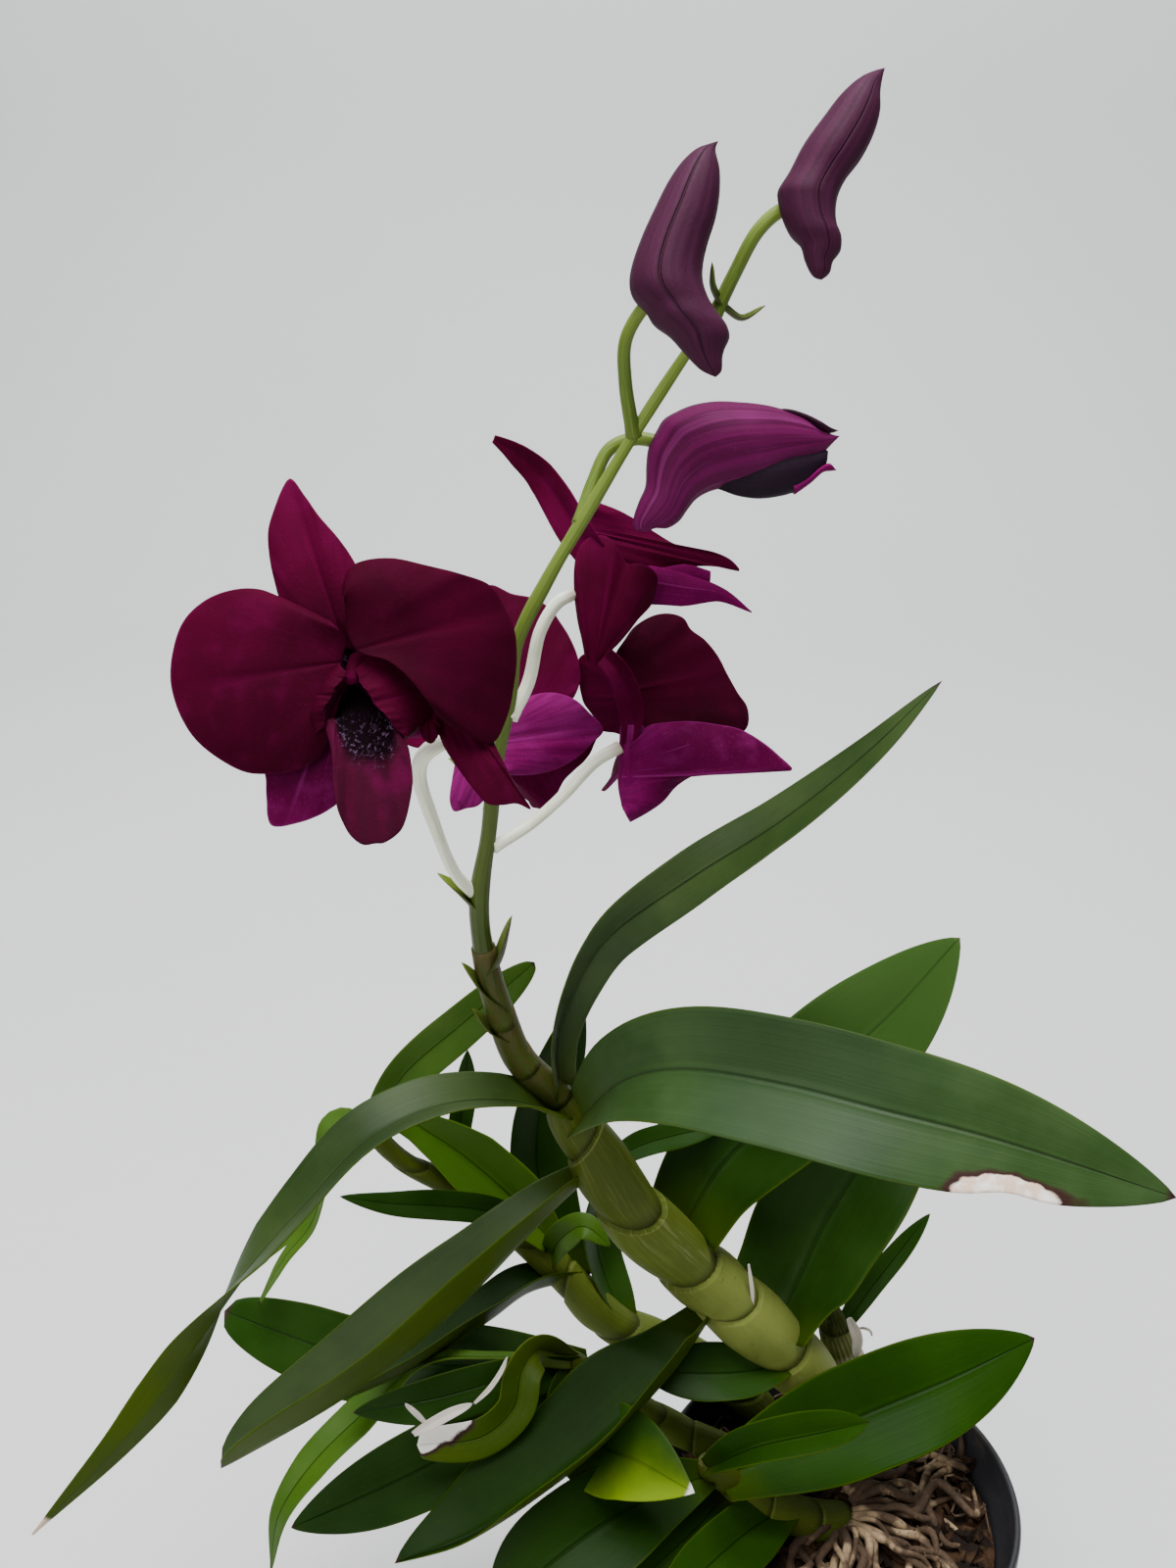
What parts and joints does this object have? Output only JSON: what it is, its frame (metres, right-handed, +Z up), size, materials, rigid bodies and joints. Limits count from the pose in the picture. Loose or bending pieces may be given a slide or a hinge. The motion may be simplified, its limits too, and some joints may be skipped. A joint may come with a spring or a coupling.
{
  "type": "potted dendrobium orchid",
  "caption": "Dendrobium orchid in flower in a round nursery pot: leaning leafy canes, an arching flower stem with dark magenta blooms and buds, roots and bark mix.",
  "frame": {"origin": "middle of the pot's flat underside", "axes": "+Z up, -Y toward the side the largest open flower faces, -X the way the canes lean"},
  "size_m": [0.2797, 0.1418, 0.4922],
  "materials": {
    "pot": "satin black plastic",
    "mix": "rough bark",
    "roots": "dull",
    "old_cane": "dry and ridged",
    "canes": "satin",
    "green_stems": "satin",
    "pale_stems": "satin",
    "buds": "satin",
    "lips": "velvety",
    "petals": "velvety",
    "yellow_leaves": "satin",
    "light_leaves": "satin",
    "leaves": "satin"
  },
  "bodies": {
    "root": {"pot": "pot", "rhizome_and_roots": "roots", "flowering_cane": "canes", "rear_cane": "canes", "young_cane": "canes", "spent_cane": "old_cane", "side_cane": "canes", "potting_mix": "mix", "flower_spike": "green_stems", "stalk_1": "pale_stems", "stalk_2": "pale_stems", "stalk_3": "pale_stems", "stalk_4": "pale_stems", "stalk_5": "green_stems", "stalk_6": "green_stems", "stalk_7": "green_stems", "flower_1": "petals", "flower_1_lip": "lips", "flower_2": "petals", "flower_2_lip": "lips", "flower_3": "petals", "flower_3_lip": "lips", "flower_4": "petals", "flower_4_lip": "lips", "half_open_bud": "buds", "bud_lower": "buds", "bud_upper": "buds", "top_leaf": "leaves", "right_leaf_1": "leaves", "left_leaf_1": "leaves", "left_leaf_2": "leaves", "left_leaf_3": "leaves", "left_leaf_4": "leaves", "right_leaf_2": "leaves", "right_leaf_3": "leaves", "right_leaf_4": "leaves", "spent_cane_leaf": "leaves", "side_leaf_1": "yellow_leaves", "young_leaf_1": "leaves", "young_leaf_2": "leaves", "young_leaf_3": "leaves", "young_leaf_4": "leaves", "young_leaf_5": "leaves", "side_leaf_2": "leaves", "side_leaf_3": "leaves", "side_leaf_4": "leaves", "torn_leaf": "yellow_leaves", "rear_leaf_1": "light_leaves", "rear_leaf_2": "light_leaves", "rear_leaf_3": "light_leaves", "rear_leaf_4": "leaves", "rear_leaf_5": "leaves", "rear_leaf_6": "leaves", "side_leaf_5": "light_leaves", "rear_leaf_7": "leaves", "rear_leaf_8": "leaves", "rear_leaf_9": "light_leaves"}
  },
  "joints": []
}
